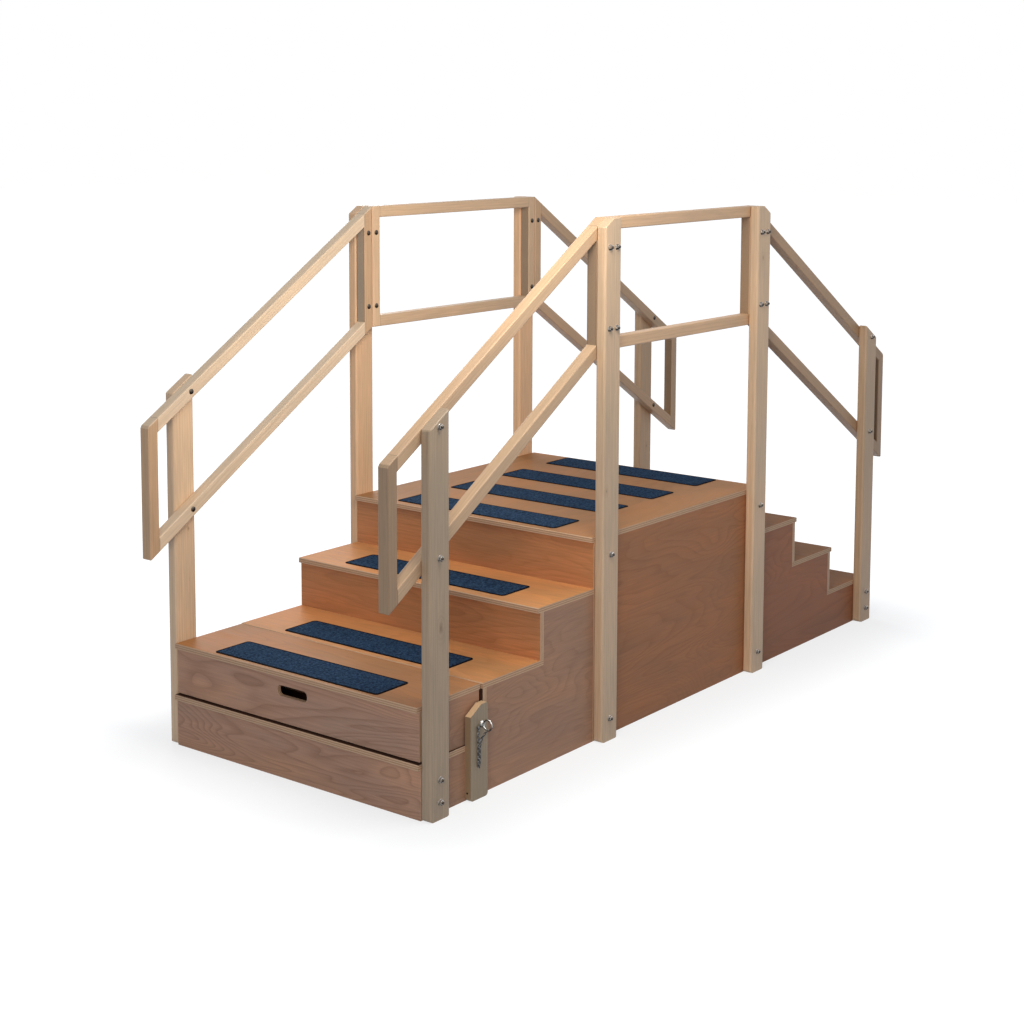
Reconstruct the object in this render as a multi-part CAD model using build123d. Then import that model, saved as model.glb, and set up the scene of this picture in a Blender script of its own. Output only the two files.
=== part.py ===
"""Physiotherapy training stairs: a wooden double flight with a platform between and handrails both sides.

Frame: X runs along the stairs with the boarding end at -X, Y across them, Z up from the floor.
The origin is on the floor, under the middle of the whole length. Millimetres.
"""
from build123d import *
import math
import os

# Stairs: driving sizes
rise = 150.0  # height of one step
going = 252.0  # depth of one step, riser face to riser face
stair_width = 914.0  # over the outer faces of the side panels
platform_length = 914.0  # riser face to riser face
ply = 15.0  # plywood of treads, risers and sides
nosing = 10.0  # tread front edge ahead of its riser
tread_edge_round = 3.0  # eased upper front edge of a tread
left_riser_counts = (2, 3)  # risers from the floor to each fixed left tread
right_riser_counts = (3, 2, 1)  # risers from the floor to each right tread
platform_riser_count = 4  # risers from the floor to the platform

# Pull-out box that makes the boarding step a high one
box_side_gap = 5.0  # between the box and each handrail post
box_back_gap = 5.0  # between the box's top board and the fixed flight
box_body_gap = 10.0  # between the box's back panel and the fixed flight
box_front_lift = 4.0  # shadow gap under the box's front panel
hand_hole_length = 112.0
hand_hole_height = 30.0
hand_hole_round = 13.0
hand_hole_drop = 57.0  # centre of the hand hole below the box's top

# Posts
post_width = 78.0  # along X
post_depth = 32.0  # along Y
post_round = 7.0  # eased upright edges
post_top_bevel = 2.5  # eased edges of the cut top
post_foot_round = 12.0  # rounded lower corners

# Handrail frames
rail_depth = 35.0  # along Y
rail_bar = 35.0  # bar size in the frame's plane
rail_round = 4.0  # eased bar edges
frame_corner_cut = 5.0  # outer corners of the free ends
rail_joint = 2.0  # between two neighbouring frames, on a post's centre
handrail_height = 1508.0  # top of the level handrail above the floor
frame_height = 377.0  # upright height of every frame, top to bottom
rail_overhang = 120.0  # the sloping rails run past the end posts
rail_end_height = 939.0  # top of the sloping rail at its free end

# Latch blocks and pull pins
block_thickness = 19.0
block_width = 72.0
block_height = 255.0
block_chamfer_x = 44.0
block_chamfer_z = 26.0
block_corner = 5.0
block_foot_round = 10.0  # rounded lower corners
block_back_gap = 2.0  # block's rear edge short of the fixed flight
pin_radius = 5.0
pin_clearance = 0.05  # radial, in the block
pin_from_back = 28.0  # pin centre ahead of the block's rear edge
pin_height = 202.0
pin_nose_inset = 1.0  # pin nose short of the block's inner face
box_pin_hole_radius = 6.5
collar_radius = 9.0
collar_length = 7.0
pull_ring_radius = 14.5
pull_ring_wire = 2.3  # radius of the ring's wire
wire_sides = 6  # flats round a bent wire
ring_pieces = 36  # straight pieces round a ring

# Keeper chains
chain_wire = 3.0  # across the chain
chain_drop = 106.0  # lowest point below the screw
chain_screw_ahead = 17.0  # screw ahead of the pin
chain_screw_below = 6.0  # screw below the pin
chain_screw_radius = 2.2
chain_stand_off = 4.0  # chain centre line off the block's face
chain_loop_width = 8.0  # between the two hanging legs
chain_last_run = 80.0  # height of the run that leaves the loop for the pull ring
chain_gap = 0.3  # between the chain's end and the pull ring

# Anti-slip strips
strip_length = 610.0
strip_width = 132.0
strip_thickness = 1.5
strip_round = 12.0
box_strip_setback = 12.0  # behind the board's front edge, as the next two
left_strip_setbacks = (22.0, 37.0)
right_strip_setback = 24.0
platform_strip_count = 4
platform_first_margin = 25.0  # first strip behind the deck's left edge
platform_last_margin = 10.0  # last strip from the deck's right edge

# Derived places
half_width = stair_width / 2
left_flight_length = (1 + len(left_riser_counts)) * going
right_flight_length = len(right_riser_counts) * going
total_length = left_flight_length + platform_length + right_flight_length
stair_start = -total_length / 2
flight_start = stair_start + going
platform_start = stair_start + left_flight_length
platform_end = platform_start + platform_length
stair_end = platform_end + right_flight_length
platform_height = platform_riser_count * rise
box_top = 2 * rise
box_half_width = half_width - box_side_gap
box_end = flight_start - box_back_gap
box_body_end = flight_start - box_body_gap
post_starts = (
    stair_start,
    platform_start,
    platform_end - post_width,
    stair_end - post_width,
)
knee_start = platform_start + post_width / 2
knee_end = platform_end - post_width / 2
frame_ends = (stair_start - rail_overhang, knee_start, knee_end, stair_end + rail_overhang)
rail_slope = (handrail_height - rail_end_height) / (knee_start - frame_ends[0])
block_end = flight_start - block_back_gap
block_start = block_end - block_width
pin_x = block_end - pin_from_back

SIDES = {"near": -1, "far": 1}
UPWARDS = 0.5  # least Z of the normal of a face that looks up
os.makedirs("parts", exist_ok=True)


def save(name, *solids):
    """Write one node from one solid, or from several that don't touch."""
    shape = solids[0] if len(solids) == 1 else Compound(children=list(solids))
    shape.label = name
    export_step(shape, f"parts/{name}.step")


def board(x_span, y_span, z_span):
    """A plain rectangular board between three spans."""
    size = [high - low for low, high in (x_span, y_span, z_span)]
    middle = [(low + high) / 2 for low, high in (x_span, y_span, z_span)]
    return Pos(*middle) * Box(*size)


def upright_plate(points, y_low, thickness):
    """A plate cut to an outline in the XZ plane, from y_low outwards along +Y."""
    outline = Plane.XZ * make_face(Polyline(*points, close=True))
    plate = extrude(outline, amount=thickness, dir=(0, 1, 0))
    return Pos(0, y_low, 0) * plate


def handrail_top(x):
    """Height of the handrail's top line at a place along the stairs."""
    if x < knee_start:
        return handrail_height - rail_slope * (knee_start - x)
    if x > knee_end:
        return handrail_height - rail_slope * (x - knee_end)
    return handrail_height


def tread(x_span, top, half, front, overhang=nosing):
    """A tread board with an eased upper front edge. front is -1 or 1, the X side of that edge."""
    low, high = x_span
    if front < 0:
        low -= overhang
    else:
        high += overhang
    plank = board((low, high), (-half, half), (top - ply, top))
    upper = plank.edges().filter_by(Axis.Y).group_by(Axis.Z)[-1].sort_by(Axis.X)
    return fillet(upper[0] if front < 0 else upper[-1], tread_edge_round)


def grip_strip(x_low, top):
    """An anti-slip strip with rounded corners, lying across a tread."""
    outline = RectangleRounded(strip_width, strip_length, strip_round)
    return extrude(Pos(x_low + strip_width / 2, 0, top) * outline, amount=strip_thickness)


def side_profile(levels, start, step, end_inset):
    """Outline of a stepped side panel. It stands behind the risers and under the treads."""
    points = [(start + step * ply, 0)]
    for index, height in enumerate(levels):
        front = start + step * (index * going + ply)
        back = start + step * ((index + 1) * going + ply)
        if index == len(levels) - 1:
            back = start + step * ((index + 1) * going - end_inset)
        points.append((front, height * rise - ply))
        points.append((back, height * rise - ply))
    points.append((points[-1][0], 0))
    return points


def build_base():
    """Low fixed box under the pull-out box."""
    inner = half_width - ply
    underside = rise - ply
    save("base_front_panel", board((stair_start, stair_start + ply), (-half_width, half_width), (0, underside)))
    back = flight_start - ply
    save("base_back_panel", board((back, flight_start), (-inner, inner), (0, underside)))
    for side, sign in SIDES.items():
        span = sorted((sign * inner, sign * half_width))
        save(f"base_side_{side}", board((stair_start + ply, flight_start), span, (0, underside)))
    top = tread((stair_start, flight_start), rise, half_width, -1)
    save("base_top_board", top)


def build_pull_box():
    """Upper box of the boarding step, with a hand hole in front and a pin hole in each side."""
    inner = box_half_width - ply
    underside = box_top - ply
    save("box_top_board", tread((stair_start, box_end), box_top, box_half_width, -1))
    front = board(
        (stair_start, stair_start + ply), (-box_half_width, box_half_width), (rise + box_front_lift, underside)
    )
    hole = RectangleRounded(hand_hole_length, hand_hole_height, hand_hole_round)
    cutter = extrude(Plane.YZ * hole, amount=ply)
    save("box_front_panel", front - Pos(stair_start, 0, box_top - hand_hole_drop) * cutter)
    save("box_back_panel", board((box_body_end - ply, box_body_end), (-inner, inner), (rise, underside)))
    for side, sign in SIDES.items():
        span = sorted((sign * inner, sign * box_half_width))
        panel = board((stair_start + ply, box_body_end), span, (rise, underside))
        drill = Rot(90, 0, 0) * Cylinder(box_pin_hole_radius, 3 * ply)
        save(f"box_side_{side}", panel - Pos(pin_x, sum(span) / 2, pin_height) * drill)
    save("box_grip_strip", grip_strip(stair_start - nosing + box_strip_setback, box_top))


def build_flight(name, levels, setbacks, start, step):
    """A fixed flight: stepped sides, risers and treads. step is 1 for a climb along +X, -1 along -X."""
    full = (-half_width, half_width)
    for side, sign in SIDES.items():
        y_low = min(sign * half_width, sign * (half_width - ply))
        save(f"{name}_side_{side}", upright_plate(side_profile(levels, start, step, 0), y_low, ply))
    strips = []
    for index, height in enumerate(levels):
        front = start + step * index * going
        back = front + step * going
        foot = 0 if index == 0 else levels[index - 1] * rise
        top = height * rise
        riser_span = sorted((front, front + step * ply))
        save(f"{name}_riser_{index + 1}", board(riser_span, full, (foot, top - ply)))
        reach = back if index == len(levels) - 1 else back + step * ply
        tread_span = sorted((front, reach))
        overhang = 0 if front == flight_start else nosing
        save(f"{name}_tread_{index + 1}", tread(tread_span, top, half_width, -step, overhang))
        strip_front = front + step * (setbacks[index] - overhang)
        strips.append(grip_strip(min(strip_front, strip_front + step * strip_width), top))
    save(f"{name}_grip_strips", *strips)


def build_platform():
    """Platform box: full-height ends, side panels between them and a deck with a nosing at both ends."""
    full = (-half_width, half_width)
    underside = platform_height - ply
    save("platform_end_left", board((platform_start, platform_start + ply), full, (0, underside)))
    save("platform_end_right", board((platform_end - ply, platform_end), full, (0, underside)))
    for side, sign in SIDES.items():
        span = sorted((sign * (half_width - ply), sign * half_width))
        save(f"platform_side_{side}", board((platform_start + ply, platform_end - ply), span, (0, underside)))
    deck = board((platform_start - nosing, platform_end + nosing), full, (underside, platform_height))
    upper = deck.edges().filter_by(Axis.Y).group_by(Axis.Z)[-1]
    save("platform_deck", fillet(upper, tread_edge_round))
    first = platform_start - nosing + platform_first_margin
    last = platform_end + nosing - platform_last_margin - strip_width
    pitch = (last - first) / (platform_strip_count - 1)
    strips = [grip_strip(first + index * pitch, platform_height) for index in range(platform_strip_count)]
    save("platform_grip_strips", *strips)


def post(x_low, sign):
    """A handrail post on a side face, with its top cut along the handrail."""
    x_high = x_low + post_width
    knees = [x for x in (knee_start, knee_end) if x_low < x < x_high]
    tops = [(x, handrail_top(x)) for x in (x_high, *reversed(knees), x_low)]
    foot = post_foot_round
    outline = Polyline((x_high, foot), *tops, (x_low, foot))
    left_foot = RadiusArc((x_low, foot), (x_low + foot, 0), -foot)
    right_foot = RadiusArc((x_high - foot, 0), (x_high, foot), -foot)
    base = Line((x_low + foot, 0), (x_high - foot, 0))
    profile = Plane.XZ * make_face(outline + left_foot + base + right_foot)
    y_low = min(sign * half_width, sign * (half_width + post_depth))
    slab = Pos(0, y_low, 0) * extrude(profile, amount=post_depth, dir=(0, 1, 0))
    section = RectangleRounded(post_width, post_depth, post_round)
    centre = ((x_low + x_high) / 2, y_low + post_depth / 2, 0)
    eased = slab & extrude(Pos(*centre) * section, amount=handrail_height)
    upper = [face for face in eased.faces() if face.normal_at().Z > UPWARDS]
    rim = [edge for face in upper for edge in face.edges()]
    shared = [edge for edge in rim if rim.count(edge) > 1]
    return chamfer([edge for edge in rim if edge not in shared], post_top_bevel)


def build_posts():
    """Four posts a side."""
    for side, sign in SIDES.items():
        for index, x_low in enumerate(post_starts):
            save(f"post_{side}_{index + 1}", post(x_low, sign))


def frame_outline(x_low, x_high, inset):
    """Corners of a handrail frame's outline, moved inwards by inset square to each bar."""
    low, high = x_low + inset, x_high - inset
    fall = (handrail_top(high) - handrail_top(low)) / (high - low)
    upright_inset = inset * math.hypot(1, fall)
    return [
        (low, handrail_top(low) - upright_inset),
        (high, handrail_top(high) - upright_inset),
        (high, handrail_top(high) - frame_height + upright_inset),
        (low, handrail_top(low) - frame_height + upright_inset),
    ]


def handrail_frame(x_low, x_high, sign):
    """An open frame of four eased bars, inside the posts."""
    y_low = min(sign * half_width, sign * (half_width - rail_depth))
    outer = upright_plate(frame_outline(x_low, x_high, 0), y_low, rail_depth)
    free_corners = outer.edges().filter_by(Axis.Y).filter_by(lambda edge: abs(edge.center().X) > stair_end)
    if free_corners:
        outer = chamfer(free_corners, frame_corner_cut)
    inner = upright_plate(frame_outline(x_low, x_high, rail_bar), y_low, rail_depth)
    frame = outer - inner
    faces = frame.faces().filter_by(Axis.Y)
    return fillet(faces.edges(), rail_round)


def build_handrails():
    """Three frames a side: rising, level and falling."""
    for side, sign in SIDES.items():
        for index, place in enumerate(("left", "middle", "right")):
            x_low = frame_ends[index] + (rail_joint / 2 if index > 0 else 0)
            x_high = frame_ends[index + 1] - (rail_joint / 2 if index < 2 else 0)
            save(f"handrail_{side}_{place}", handrail_frame(x_low, x_high, sign))


def latch_block(sign):
    """Upright block on the base box's side, drilled for the pull pin."""
    points = [
        (block_start, 0),
        (block_end, 0),
        (block_end, block_height - block_corner),
        (block_end - block_corner, block_height),
        (block_start + block_chamfer_x, block_height),
        (block_start, block_height - block_chamfer_z),
    ]
    y_low = min(sign * half_width, sign * (half_width + block_thickness))
    block = upright_plate(points, y_low, block_thickness)
    block = fillet(block.edges().filter_by(Axis.Y).group_by(Axis.Z)[0], block_foot_round)
    drill = Rot(90, 0, 0) * Cylinder(pin_radius + pin_clearance, 3 * block_thickness)
    return block - Pos(pin_x, y_low + block_thickness / 2, pin_height) * drill


def wire_ring(radius, wire):
    """A closed ring of bent wire about the X axis, in short straight pieces."""
    path = RegularPolygon(radius, ring_pieces).wire()
    half_piece = 0.5 / ring_pieces
    start = Plane(origin=path @ half_piece, x_dir=(0, 0, 1), z_dir=path % half_piece)
    ring = sweep(start * RegularPolygon(wire, wire_sides), path=path, transition=Transition.RIGHT)
    return Rot(0, 90, 0) * ring


def pull_pin(sign):
    """Round pin through the latch block, with a collar and a pull ring."""
    face = half_width + block_thickness
    nose = half_width + pin_nose_inset
    shaft_length = face + collar_length - nose
    shaft = Pos(0, nose + shaft_length / 2, 0) * Rot(90, 0, 0) * Cylinder(pin_radius, shaft_length)
    collar = Pos(0, face + collar_length / 2, 0) * Rot(90, 0, 0) * Cylinder(collar_radius, collar_length)
    ring_y = face + collar_length + pull_ring_radius
    ring = Pos(0, ring_y, 0) * wire_ring(pull_ring_radius, pull_ring_wire)
    pin = shaft + collar + ring
    if sign < 0:
        pin = mirror(pin, Plane.XZ)
    return Pos(pin_x, 0, pin_height) * pin


def keeper_chain(sign):
    """Plain tube along the keeper chain, with its screw: it hangs in a loop and ends under the pull ring."""
    face = half_width + block_thickness
    line = sign * (face + chain_stand_off)
    screw_x = pin_x - chain_screw_ahead
    screw_z = pin_height - chain_screw_below
    low = screw_z - chain_drop
    ring_y = sign * (face + collar_length + pull_ring_radius)
    ring_bottom = pin_height - pull_ring_radius - pull_ring_wire
    return_x = screw_x + chain_loop_width
    route = [
        (screw_x, line, screw_z),
        (screw_x, line, low),
        (return_x, line, low),
        (return_x, line, ring_bottom - chain_last_run),
        (pin_x, ring_y, ring_bottom - chain_gap - chain_wire / 2),
    ]
    fold = 0.45 * chain_loop_width
    path = FilletPolyline(*route, radius=[fold, fold, chain_last_run])
    section = RegularPolygon(chain_wire / 2, wire_sides)
    tube = sweep(Plane(origin=route[0], z_dir=(0, 0, -1)) * section, path=path)
    screw_length = chain_stand_off + chain_wire / 2
    screw_middle = sign * (face + screw_length / 2)
    screw = Rot(90, 0, 0) * Cylinder(chain_screw_radius, screw_length)
    return tube + Pos(screw_x, screw_middle, screw_z) * screw


def build_latches():
    """Latch blocks, pull pins and keeper chains, one of each a side."""
    save("latch_blocks", *[latch_block(sign) for sign in SIDES.values()])
    save("keeper_chains", *[keeper_chain(sign) for sign in SIDES.values()])
    for side, sign in SIDES.items():
        save(f"pull_pin_{side}", pull_pin(sign))


def main():
    build_base()
    build_pull_box()
    build_flight("left", left_riser_counts, left_strip_setbacks, flight_start, 1)
    right_strip_setbacks = (right_strip_setback,) * len(right_riser_counts)
    build_flight("right", right_riser_counts[::-1], right_strip_setbacks, stair_end, -1)
    build_platform()
    build_posts()
    build_handrails()
    build_latches()


main()
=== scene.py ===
"""Looks of the wooden physiotherapy training stairs: veneers, hardwood, grip strips, bolts and latches.

Metres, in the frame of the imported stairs: X along them with the boarding end at -X, Z up from the floor.
"""
import math

import bmesh
import bpy
from bpy.props import FloatProperty, FloatVectorProperty, IntProperty, PointerProperty
from mathutils import Matrix, Vector


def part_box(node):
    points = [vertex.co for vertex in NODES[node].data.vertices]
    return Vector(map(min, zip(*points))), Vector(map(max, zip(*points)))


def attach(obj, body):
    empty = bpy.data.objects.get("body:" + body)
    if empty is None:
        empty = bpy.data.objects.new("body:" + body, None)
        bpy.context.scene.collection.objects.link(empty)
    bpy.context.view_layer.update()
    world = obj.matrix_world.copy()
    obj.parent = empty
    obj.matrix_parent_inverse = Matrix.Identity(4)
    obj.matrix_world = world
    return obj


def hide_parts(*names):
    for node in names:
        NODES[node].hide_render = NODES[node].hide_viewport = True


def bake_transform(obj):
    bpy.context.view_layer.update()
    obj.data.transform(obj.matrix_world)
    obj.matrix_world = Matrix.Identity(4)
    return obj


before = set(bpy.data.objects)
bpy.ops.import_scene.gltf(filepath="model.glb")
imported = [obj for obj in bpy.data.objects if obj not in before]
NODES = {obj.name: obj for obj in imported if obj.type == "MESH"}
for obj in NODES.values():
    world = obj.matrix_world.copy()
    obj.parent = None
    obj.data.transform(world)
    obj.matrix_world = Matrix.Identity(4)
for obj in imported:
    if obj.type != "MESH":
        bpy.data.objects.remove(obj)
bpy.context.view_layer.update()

bl_info = {
    "name": "Training stairs finish",
    "version": (1, 0, 0),
    "blender": (4, 5, 0),
    "location": "3D View > Sidebar > Stairs",
    "description": "Dresses wooden training stairs with veneers, hardwood, grip strips, bolts and latches",
    "category": "Object",
}

SIDES = {"near": -1, "far": 1}
X_AXIS, Y_AXIS, Z_AXIS = 0, 1, 2

FRONT_BOARDS = ("base_front_panel", "box_front_panel")
RISERS = ("left_riser_2", "platform_end_left")
HIDDEN_RISERS = ("left_riser_1",)
BACK_RISERS = ("right_riser_1", "right_riser_2", "right_riser_3", "platform_end_right")
INNER_BOARDS = ("base_back_panel", "box_back_panel")
LEFT_SIDES = (
    "base_side_near", "base_side_far", "box_side_near", "box_side_far", "left_side_near", "left_side_far",
)
PLATFORM_SIDES = ("platform_side_near", "platform_side_far")
RIGHT_SIDES = ("right_side_near", "right_side_far")
TREADS = (
    "base_top_board", "box_top_board", "left_tread_1", "left_tread_2", "platform_deck",
    "right_tread_3", "right_tread_2", "right_tread_1",
)
POSTS = tuple(f"post_{side}_{index}" for side in SIDES for index in (1, 2, 3, 4))
HANDRAILS = tuple(f"handrail_{side}_{place}" for side in SIDES for place in ("left", "middle", "right"))

# The body that each node of strips rides on.
STRIP_NODES = {
    "box_grip_strip": "pull_box",
    "left_grip_strips": "stairs",
    "platform_grip_strips": "stairs",
    "right_grip_strips": "stairs",
}


def hex_colour(text):
    """A colour written as six hex digits, as linear red, green and blue."""
    parts = [int(text[i:i + 2], 16) / 255 for i in (0, 2, 4)]
    return tuple(p / 12.92 if p <= 0.04045 else ((p + 0.055) / 1.055) ** 2.4 for p in parts)


def colour_property(name, description, text):
    """A colour that a user may change. Its default is written as six hex digits."""
    return FloatVectorProperty(
        name=name, description=description, default=hex_colour(text), subtype="COLOR", size=3, min=0, max=1
    )


def length_property(name, description, metres):
    """A length that a user may change."""
    return FloatProperty(name=name, description=description, default=metres, unit="LENGTH", min=0)


class StairFinish(bpy.types.PropertyGroup):
    """Colours of the stairs' woods and strips."""

    front_veneer: colour_property("Front veneer", "Birch face of the boarding step's front panels", "BC9074")
    side_veneer: colour_property("Side veneer", "Birch face of the left flight's side panels", "AD8367")
    platform_veneer: colour_property("Platform veneer", "Birch face of the platform's side panels", "A76F49")
    right_veneer: colour_property("Right veneer", "Birch face of the right flight's side panels", "9F6544")
    # The risers' colour is more orange than the front veneer: partly the birch's own tone, partly painted
    # warm bounce light from the treads.
    riser_veneer_and_painted_bounce: colour_property("Riser veneer", "Birch face of the risers", "C18356")
    tread_veneer: colour_property("Tread veneer", "Lacquered face of the treads and the deck", "CA8C58")
    # A dark face for the boards that the box hides: painted shade, so that the gaps round the box look dark.
    painted_shade_face: colour_property("Slide face", "Stained faces that the box hides", "4A3226")
    ply_light: colour_property("Ply edge, light", "Light layers of the plywood's edges", "D2AE8C")
    ply_dark: colour_property("Ply edge, dark", "Dark layers of the plywood's edges", "B48A68")
    hardwood: colour_property("Hardwood", "Posts and handrails", "D8B590")
    block_wood: colour_property("Block wood", "Latch blocks", "9A876D")
    grip: colour_property("Grip", "Gritty face of the strips", "1B2A42")
    grip_border: colour_property("Grip border", "Sealed border of the strips", "050509")


class StairFittings(bpy.types.PropertyGroup):
    """Sizes of the fittings added to the stairs."""

    board_ease: length_property("Board ease", "Sanded arris of the boards", 0.0009)
    bolt_head_radius: length_property("Bolt head radius", "Domed bolt heads inside the handrails", 0.0078)
    washer_radius: length_property("Washer radius", "Washers under the nuts", 0.0088)
    washer_thickness: length_property("Washer thickness", "Washers under the nuts", 0.0015)
    nut_radius: length_property("Nut radius", "Across the nut's corners, halved", 0.0072)
    nut_height: length_property("Nut height", "Height of a nut", 0.0062)
    thread_radius: length_property("Thread radius", "Bolt ends that stand out of the nuts", 0.0038)
    thread_length: length_property("Thread length", "How far the bolt ends stand out of the nuts", 0.003)
    knee_bolt_drop: length_property("Knee bolt drop", "Upper knee bolts below the handrail's top", 0.081)
    knee_bolt_rise: length_property("Knee bolt rise", "Lower knee bolts above the frame's foot", 0.067)
    foot_bolt_heights: FloatVectorProperty(
        name="Foot bolt heights", description="Bolts at the feet of the end posts", default=(0.047, 0.106),
        size=2, unit="LENGTH",
    )
    platform_bolt_heights: FloatVectorProperty(
        name="Platform bolt heights", description="Bolts of the middle posts into the platform",
        default=(0.066, 0.548), size=2, unit="LENGTH",
    )
    strip_border: length_property("Strip border", "Width of the sealed border of a strip", 0.0065)
    link_wire: length_property("Link wire", "Radius of the keeper chain's wire", 0.0011)
    link_width: length_property("Link width", "Outer width of a chain link", 0.0076)
    link_pitch: length_property("Link pitch", "From one chain link to the next", 0.0078)
    ply_layers: IntProperty(name="Ply layers", description="Layers in a board", default=5, min=3)


def finish():
    """The colours that the scene holds."""
    return bpy.context.scene.stair_finish


def fittings():
    """The sizes of fittings that the scene holds."""
    return bpy.context.scene.stair_fittings


# Shader trees

class Tree:
    """Short ways to add and join nodes of a shader tree."""

    def __init__(self, tree):
        self.tree = tree

    def feed(self, socket, value):
        """Links another node's socket to this one, or sets a plain value on it."""
        if isinstance(value, bpy.types.NodeSocket):
            self.tree.links.new(value, socket)
        elif value is not None:
            socket.default_value = value

    def add(self, kind, inputs=None, **settings):
        """Adds a node. Its inputs go by name or by number."""
        node = self.tree.nodes.new(kind)
        for name, value in settings.items():
            setattr(node, name, value)
        for name, value in (inputs or {}).items():
            self.feed(node.inputs[name], value)
        return node

    def math(self, operation, *values):
        """Works on plain numbers."""
        return self.add("ShaderNodeMath", dict(enumerate(values)), operation=operation).outputs[0]

    def vector(self, operation, *values):
        """Works on places."""
        node = self.add("ShaderNodeVectorMath", dict(enumerate(values)), operation=operation)
        return node.outputs["Value" if operation in ("DOT_PRODUCT", "LENGTH") else "Vector"]

    def split(self, vector):
        """X, Y and Z of a place, or the parts of a colour."""
        return self.add("ShaderNodeSeparateXYZ", {0: vector}).outputs

    def join(self, *parts):
        """A place, or a colour, from its parts."""
        return self.add("ShaderNodeCombineXYZ", dict(enumerate(parts))).outputs[0]

    def noise(self, vector, scale=1.0, detail=2.0, roughness=0.5, distortion=0.0):
        """Cloudy noise, between 0 and 1."""
        inputs = {
            "Vector": vector, "Scale": scale, "Detail": detail, "Roughness": roughness,
            "Distortion": distortion,
        }
        return self.add("ShaderNodeTexNoise", inputs).outputs["Fac"]

    def spread(self, value, low, high, to_low=0.0, to_high=1.0, smooth=False):
        """Maps a value's range low to high onto another, clamped."""
        kind = "SMOOTHSTEP" if smooth else "LINEAR"
        inputs = {"Value": value, "From Min": low, "From Max": high, "To Min": to_low, "To Max": to_high}
        return self.add("ShaderNodeMapRange", inputs, interpolation_type=kind).outputs[0]

    def mix(self, factor, first, second, blend="MIX"):
        """Mixes two colours, or two places."""
        node = self.add("ShaderNodeMix", data_type="RGBA", blend_type=blend)
        for name, value in (("Factor_Float", factor), ("A_Color", first), ("B_Color", second)):
            socket = next(s for s in node.inputs if s.identifier == name)
            if not isinstance(value, (bpy.types.NodeSocket, float, int)):
                value = (*value, 1) if len(value) == 3 else value
            self.feed(socket, value)
        return next(s for s in node.outputs if s.identifier == "Result_Color")

    def placed(self, tree, named):
        """Adds a shader group with its inputs."""
        node = self.tree.nodes.new("ShaderNodeGroup")
        node.node_tree = tree
        for name, value in named.items():
            self.feed(node.inputs[name], value)
        return node.outputs


def new_group(name, inputs, outputs):
    """An empty shader group. Each input is (name, kind, default), each output (name, kind)."""
    tree = bpy.data.node_groups.new(name, "ShaderNodeTree")
    for title, kind, default in inputs:
        socket = tree.interface.new_socket(title, in_out="INPUT", socket_type=f"NodeSocket{kind}")
        if default is not None:
            socket.default_value = default
    for title, kind in outputs:
        tree.interface.new_socket(title, in_out="OUTPUT", socket_type=f"NodeSocket{kind}")
    made = Tree(tree)
    source = tree.nodes.new("NodeGroupInput").outputs
    sink = tree.nodes.new("NodeGroupOutput").inputs
    return made, source, sink


# Repeats per metre, along the grain and in the two directions across it.
FIBRE_REPEATS = (9.0, 210.0, 210.0)
PATCH_REPEATS = (1.9, 7.0, 7.0)
FAINT_REPEATS = (1.7, 6.0, 6.0)
VENEER_REPEATS = (0.8, 4.2, 4.2)
TIMBER_REPEATS = (0.3, 7.0, 7.0)

# How far a seed moves the figure along and across the grain.
SEED_ALONG = 7.31
SEED_ACROSS = 3.17

# Ranges that hold most of a noise's values.
NOISE_RANGE = (0.3, 0.7)
PATCH_RANGE = (0.34, 0.66)


def wood_figure_group():
    """Growth rings, fibres and cloudy patches of wood. The vector runs along the grain in X."""
    inputs = (
        ("Vector", "Vector", None), ("Seed", "Float", 0.0), ("Stretch", "Vector", VENEER_REPEATS),
        ("Ring count", "Float", 8.0), ("Straight", "Vector", (0, 0, 0)),
    )
    outputs = (("Rings", "Float"), ("Fibre", "Float"), ("Patches", "Float"))
    tree, source, sink = new_group("Wood figure", inputs, outputs)
    seed = source["Seed"]
    shift = tree.join(tree.math("MULTIPLY", seed, SEED_ALONG), tree.math("MULTIPLY", seed, SEED_ACROSS), seed)
    place = tree.vector("ADD", source["Vector"], shift)
    stretched = tree.vector("MULTIPLY", place, source["Stretch"])
    field = tree.noise(stretched, detail=2.5, roughness=0.42, distortion=0.5)
    field = tree.math("ADD", field, tree.vector("DOT_PRODUCT", source["Vector"], source["Straight"]))
    phase = tree.math("FRACT", tree.math("MULTIPLY", field, source["Ring count"]))
    late_wood = tree.math("POWER", phase, 3.0)
    early_edge = tree.spread(phase, 0.0, 0.12, 0.5, 0.0)
    faint_places = tree.noise(tree.vector("MULTIPLY", place, FAINT_REPEATS))
    faintness = tree.spread(faint_places, 0.3, 0.65, 0.35, 1.0)
    tree.feed(sink["Rings"], tree.math("MULTIPLY", tree.math("MAXIMUM", late_wood, early_edge), faintness))
    fine = tree.vector("MULTIPLY", place, FIBRE_REPEATS)
    tree.feed(sink["Fibre"], tree.noise(fine, detail=2.0, roughness=0.6))
    coarse = tree.vector("MULTIPLY", place, PATCH_REPEATS)
    tree.feed(sink["Patches"], tree.noise(coarse, detail=3.0, roughness=0.6))
    return tree.tree


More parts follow.
